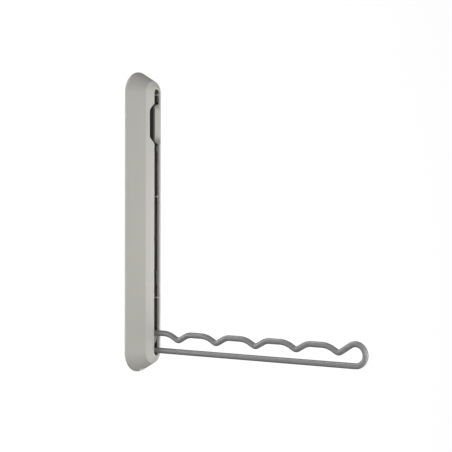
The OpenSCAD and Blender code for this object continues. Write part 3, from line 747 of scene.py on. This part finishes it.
def grain(tree, where, size, low, high, detail=2.0, stretch=(1, 1, 1)):
    """A noise whose lumps are about one size wide, mapped to a range; stretch draws it out. Most of
    a noise's values lie between usual_low and usual_high, which become the ends of the range."""
    usual_low, usual_high = 0.28, 0.72
    if stretch != (1, 1, 1):
        where = (add(tree, "ShaderNodeMapping", Vector=where, Scale=tuple(1 / k for k in stretch)), 0)
    noise = add(tree, "ShaderNodeTexNoise", Vector=where, Scale=1 / size, Detail=detail)
    return add(tree, "ShaderNodeMapRange", Value=(noise, "Fac"), From_Min=usual_low,
               From_Max=usual_high, To_Min=low, To_Max=high), 0


def dress(tree, shader, hex_colour, tones, rough, relief, height, **constants):
    """Gives a shader its colour times some tones, its roughness pattern, its relief and its
    constants, which are named as its sockets are."""
    tone = tones[0]
    for other in tones[1:]:
        tone = (add(tree, "ShaderNodeMath", {"operation": "MULTIPLY"}, _0=tone, _1=other), 0)
    colour = add(tree, "ShaderNodeHueSaturation", Color=linear(hex_colour), Value=tone)
    bump = add(tree, "ShaderNodeBump", Strength=0.5, Distance=height, Height=relief)
    tree.links.new(colour.outputs["Color"], shader.inputs["Base Color"])
    tree.links.new(rough[0].outputs[rough[1]], shader.inputs["Roughness"])
    tree.links.new(bump.outputs[0], shader.inputs["Normal"])
    for name, value in constants.items():
        shader.inputs[name.replace("_", " ")].default_value = value


def moulded_abs(hex_colour):
    """Injection-moulded ABS with a fine spark-eroded texture: an even, chalky sheen, a colour that
    drifts slightly along the flow, and a grain that only shows at a glancing angle. Such a texture
    is about 0.1 mm wide, and is drawn 0.45 mm wide so that it shows."""
    made, tree, shader, where = material("moulded_textured_abs")
    drift = grain(tree, where, 60 * MM, 0.98, 1.015, 3.0, (1, 1, 2))
    speck = grain(tree, where, 0.45 * MM, 0.97, 1.03)
    rough = grain(tree, where, 0.45 * MM, 0.5, 0.64)
    dress(tree, shader, hex_colour, [drift, speck], rough, speck, 0.3 * MM, IOR=1.52)
    return made


def powder_coat(hex_colour):
    """Satin polyester powder coat on bent steel wire: a soft highlight broken by faint orange peel
    about a millimetre wide, and metallic flecks, drawn 0.35 mm wide so that they show."""
    made, tree, shader, where = material("satin_powder_coat")
    peel = grain(tree, where, 1.1 * MM, 0.0, 1.0, 1.0)
    fleck = grain(tree, where, 0.35 * MM, 0.94, 1.06)
    shade = grain(tree, where, 25 * MM, 0.98, 1.02)
    rough = grain(tree, where, 1.1 * MM, 0.34, 0.44, 1.0)
    dress(tree, shader, hex_colour, [fleck, shade], rough, peel, 0.02 * MM)
    return made


def cast_coat(hex_colour):
    """Satin powder coat on a die-cast block: the same coat as the wire's, over the soft dimples
    that a casting keeps, with a slightly rougher skin."""
    made, tree, shader, where = material("coated_zinc_casting")
    dimple = grain(tree, where, 2.2 * MM, 0.0, 1.0, 3.0)
    fleck = grain(tree, where, 0.35 * MM, 0.94, 1.06)
    rough = grain(tree, where, 0.9 * MM, 0.4, 0.52)
    dress(tree, shader, hex_colour, [fleck], rough, dimple, 0.05 * MM)
    return made


def moulded_charcoal(hex_colour):
    """Matt moulded nylon filled with glass: a dry, dark skin with pale flow streaks along the part
    and a fine grain."""
    made, tree, shader, where = material("moulded_charcoal_nylon")
    streak = grain(tree, where, 3 * MM, 0.9, 1.1, 4.0, (1, 1, 5))
    speck = grain(tree, where, 0.3 * MM, 0.9, 1.12)
    rough = grain(tree, where, 0.3 * MM, 0.48, 0.66)
    dress(tree, shader, hex_colour, [streak, speck], rough, speck, 0.06 * MM, IOR=1.53)
    return made


def pressed_zinc_plate(hex_colour):
    """Zinc-plated cold-rolled sheet: fine rolling lines up the part, cloudy plating that turns from
    grey to faintly blue, and a broken, satin reflection."""
    made, tree, shader, where = material("zinc_plated_sheet")
    lines = grain(tree, where, 0.4 * MM, 0.94, 1.06, 3.0, (1, 1, 40))
    cloud = grain(tree, where, 9 * MM, 0.88, 1.1, 4.0)
    rough = grain(tree, where, 5 * MM, 0.3, 0.48, 4.0)
    dress(tree, shader, hex_colour, [lines, cloud], rough, lines, 0.02 * MM, Metallic=1.0)
    return made


def zinc_screw(hex_colour):
    """Bright zinc on a cold-headed screw: a fairly sharp reflection, slightly cloudy, with tiny
    dents from tumbling."""
    made, tree, shader, where = material("bright_zinc_screw")
    cloud = grain(tree, where, 1.5 * MM, 0.9, 1.06, 3.0)
    dents = grain(tree, where, 0.5 * MM, 0.0, 1.0, 1.0)
    rough = grain(tree, where, 0.8 * MM, 0.2, 0.36)
    dress(tree, shader, hex_colour, [cloud], rough, dents, 0.02 * MM, Metallic=1.0)
    return made


def ground_pin(hex_colour):
    """Centreless-ground steel: fine rings round the pin, which lies along X, drawn 0.12 mm wide so
    that they show, and a bright, narrow reflection drawn out across them."""
    made, tree, shader, where = material("ground_steel_pin")
    rings = grain(tree, where, 0.12 * MM, 0.93, 1.05, 2.0, (1, 60, 60))
    rough = grain(tree, where, 2 * MM, 0.16, 0.28)
    dress(tree, shader, hex_colour, [rings], rough, rings, 0.01 * MM, Metallic=1.0, Anisotropic=0.4)
    return made


def blued_spring(hex_colour):
    """Tempered spring steel: a dark oxide that drifts between blue and brown-grey, with a soft
    metallic gleam."""
    made, tree, shader, where = material("blued_spring_steel")
    drift = grain(tree, where, 2.5 * MM, 0.8, 1.2, 3.0)
    speck = grain(tree, where, 0.2 * MM, 0.95, 1.05)
    rough = grain(tree, where, 1.2 * MM, 0.28, 0.42)
    dress(tree, shader, hex_colour, [drift, speck], rough, speck, 0.01 * MM, Metallic=1.0)
    return made


def pressed_fibre(hex_colour):
    """Friction disc punched from pressed fibre and resin: dull, with short pale fibres that lie
    flat in a darker binder."""
    made, tree, shader, where = material("pressed_fibre_disc")
    fibres = grain(tree, where, 0.15 * MM, 0.75, 1.3, 4.0, (1, 1, 6))
    lumps = grain(tree, where, 0.8 * MM, 0.88, 1.12, 3.0)
    rough = grain(tree, where, 0.3 * MM, 0.78, 0.95)
    dress(tree, shader, hex_colour, [fibres, lumps], rough, fibres, 0.06 * MM)
    return made


def natural_nylon(hex_colour):
    """Unpigmented moulded nylon: milky, slightly see-through at its edges, with a waxy sheen."""
    made, tree, shader, where = material("natural_moulded_nylon")
    milk = grain(tree, where, 2 * MM, 0.96, 1.03, 2.0)
    rough = grain(tree, where, 0.4 * MM, 0.34, 0.46)
    dress(tree, shader, hex_colour, [milk], rough, milk, 0.01 * MM,
          Subsurface_Weight=0.2, Subsurface_Scale=0.8 * MM, IOR=1.53)
    return made


def turned_acetal(hex_colour):
    """Acetal bush turned from rod: ivory and slippery looking, with fine tool rings along X."""
    made, tree, shader, where = material("turned_acetal_bush")
    rings = grain(tree, where, 0.15 * MM, 0.97, 1.03, 1.0, (1, 40, 40))
    rough = grain(tree, where, 0.6 * MM, 0.26, 0.36)
    dress(tree, shader, hex_colour, [rings], rough, rings, 0.01 * MM, IOR=1.48)
    return made


# ---------------- stage


def wall_paint(hex_colour, glow):
    """Matt wall paint with an even white glow of a given strength, so that a wall can read as
    white, and clear from behind, so that the rack's back can be seen through it."""
    made, tree, shader, _ = material("matt_wall_paint")
    shader.inputs["Base Color"].default_value = linear(hex_colour)
    shader.inputs["Roughness"].default_value = 0.9
    shader.inputs["Emission Color"].default_value = (1, 1, 1, 1)
    shader.inputs["Emission Strength"].default_value = glow
    facing = add(tree, "ShaderNodeNewGeometry")
    clear = add(tree, "ShaderNodeBsdfTransparent")
    mixed = add(tree, "ShaderNodeMixShader", _0=(facing, "Backfacing"), _1=(shader, 0), _2=(clear, 0))
    output = next(n for n in tree.nodes if n.type == "OUTPUT_MATERIAL")
    tree.links.new(mixed.outputs[0], output.inputs["Surface"])
    return made


def flat_sheet(name, finish, *corners):
    """One flat stage sheet from its four corners."""
    mesh = bpy.data.meshes.new(name)
    mesh.from_pydata(corners, [], [(0, 1, 2, 3)])
    mesh.materials.append(finish)
    sheet = bpy.data.objects.new(name, mesh)
    bpy.context.scene.collection.objects.link(sheet)
    return sheet


def soft_light(name, place, target, size, power):
    """A square soft light that faces a point."""
    data = bpy.data.lights.new(name, "AREA")
    data.shape, data.size, data.energy = "SQUARE", size, power
    lamp = bpy.data.objects.new(name, data)
    lamp.location = place
    lamp.rotation_mode = "QUATERNION"
    lamp.rotation_quaternion = (Vector(target) - Vector(place)).to_track_quat("-Z", "Y")
    lamp.visible_camera = False
    bpy.context.scene.collection.objects.link(lamp)
    return lamp


def plate_openings(s):
    """Half width, lower end and upper end of the plate's openings: the window for the folded end
    loop and the two wall screw holes, behind which dark sheets paint the wall's shade."""
    past_hole = 0.2 * MM
    holes = frame["record"]["mounts"][0]["dims"]
    reach, radius = holes["spacing_y_mm"] / 2 * MM, holes["hole_r_mm"] * MM + past_hole
    top = PIVOT.y + PIVOT.z - WIRE_LO.y
    window = (cover().slot_width / 2, top - s.wire - 2 * s.loop_bend, top)
    return [window] + [(radius, z - radius, z + radius) for z in (-reach, reach)]


class RACK_OT_stage(bpy.types.Operator):
    """Sets the camera, the soft lights, the pale wall and floor, and dark sheets of painted shade behind the
    plate.
    """
    bl_idname = "rack.stage"
    bl_label = "Stage"

    def execute(self, context):
        s = context.scene.rack_stage
        ahead = Vector((math.sin(s.azimuth) * math.cos(s.pitch),
                        math.cos(s.azimuth) * math.cos(s.pitch), math.sin(s.pitch)))
        right = Vector((math.cos(s.azimuth), -math.sin(s.azimuth), 0))
        up = right.cross(ahead)
        side = right * math.cos(s.roll) + up * math.sin(s.roll)
        top = up * math.cos(s.roll) - right * math.sin(s.roll)
        data = bpy.data.cameras.new("camera")
        data.lens, data.sensor_width = s.lens, 36
        data.clip_start, data.clip_end = 0.05, 20
        camera = bpy.data.objects.new("camera", data)
        turned = Matrix((side, top, -ahead)).transposed().to_4x4()
        camera.matrix_world = Matrix.Translation(s.place) @ turned
        context.scene.collection.objects.link(camera)
        context.scene.camera = camera

        world = bpy.data.worlds.new("studio_ring")
        world.use_nodes = True
        tree = world.node_tree
        way = add(tree, "ShaderNodeTexCoord")
        axes = add(tree, "ShaderNodeSeparateXYZ", Vector=(way, "Generated"))
        height = add(tree, "ShaderNodeMapRange", Value=(axes, "Z"), From_Min=-1.0)
        ring = add(tree, "ShaderNodeValToRGB", Fac=(height, 0))
        stops = ring.color_ramp.elements
        for place in (0.42, 0.58):
            stops.new(place).color = (s.ring, s.ring, s.ring, 1)
        for stop, place, strength in ((stops[0], 0.2, s.below), (stops[-1], 0.8, s.above)):
            stop.position, stop.color = place, (strength, strength, strength, 1)
        seen = add(tree, "ShaderNodeLightPath")
        both = add(tree, "ShaderNodeMix", {"data_type": "RGBA"}, _0=(seen, "Is Camera Ray"), _6=(ring, 0),
                   _7=linear(s.backdrop))
        tree.links.new(both.outputs[2], tree.nodes["Background"].inputs["Color"])
        context.scene.world = world
        context.scene.view_settings.view_transform = "Standard"

        soft_light("front_light", (0.17, -0.94, -0.28), (0, 0, -0.05), 0.5, s.key)
        soft_light("fill_light", (-0.55, -0.7, 0.05), (0, 0, -0.03), 0.4, s.fill)
        soft_light("wall_bounce", (-0.46, 0.65, 0.03), (0, 0, -0.03), 0.5, s.bounce)
        rim = soft_light("rim_light", (-0.1, 0.9, 1.3), (0, -0.14, -0.12), 0.9, s.rim)
        rim.visible_diffuse = False

        far, gap, behind = 4.0, 0.5 * MM, 0.1 * MM
        # The shade finish is a dark paint that does not glow: painted shade for the sheets behind the plate's
        # openings.
        white, shade = wall_paint(s.wall, s.glow), wall_paint(s.shade, 0.0)
        wall = flat_sheet("wall", white, (-far, gap, -far), (far, gap, -far), (far, gap, far),
                          (-far, gap, far))
        floor = flat_sheet("floor", white, (-far, gap, -s.drop), (-far, -far, -s.drop),
                           (far, -far, -s.drop), (far, gap, -s.drop))
        for sheet in (wall, floor):
            sheet.visible_diffuse = sheet.visible_glossy = sheet.visible_shadow = False
        # Dark sheets just behind the plate's openings paint the shade there, and they also block light from
        # behind.
        for k, (half, low, high) in enumerate(plate_openings(context.scene.rack_arm)):
            sheet = flat_sheet("painted_shade_sheet_%d" % k, shade, (-half, behind, low), (half, behind, low),
                               (half, behind, high), (-half, behind, high))
            sheet.visible_diffuse = sheet.visible_glossy = False
        return {"FINISHED"}


class RACK_PT_panel(bpy.types.Panel):
    """Lists the steps that build the rack."""
    bl_idname = "RACK_PT_panel"
    bl_label = "Wall rack"
    bl_space_type = "VIEW_3D"
    bl_region_type = "UI"
    bl_category = "Wall rack"

    def draw(self, context):
        for step in OPERATORS:
            self.layout.operator(step.bl_idname)


SETTINGS = {"rack_housing": HousingSizes, "rack_arm": ArmSizes, "rack_fittings": FittingSizes,
            "rack_stage": StageSettings}
OPERATORS = [RACK_OT_housing, RACK_OT_arm, RACK_OT_fittings, RACK_OT_stage]


def register():
    for group in SETTINGS.values():
        bpy.utils.register_class(group)
    for name, group in SETTINGS.items():
        setattr(bpy.types.Scene, name, bpy.props.PointerProperty(type=group))
    for step in OPERATORS:
        bpy.utils.register_class(step)
    bpy.utils.register_class(RACK_PT_panel)


def unregister():
    bpy.utils.unregister_class(RACK_PT_panel)
    for step in reversed(OPERATORS):
        bpy.utils.unregister_class(step)
    for name, group in SETTINGS.items():
        delattr(bpy.types.Scene, name)
        bpy.utils.unregister_class(group)


def main():
    register()
    bpy.ops.rack.housing()
    bpy.ops.rack.arm()
    bpy.ops.rack.fittings()
    bpy.ops.rack.stage()


if __name__ == "__main__":
    main()
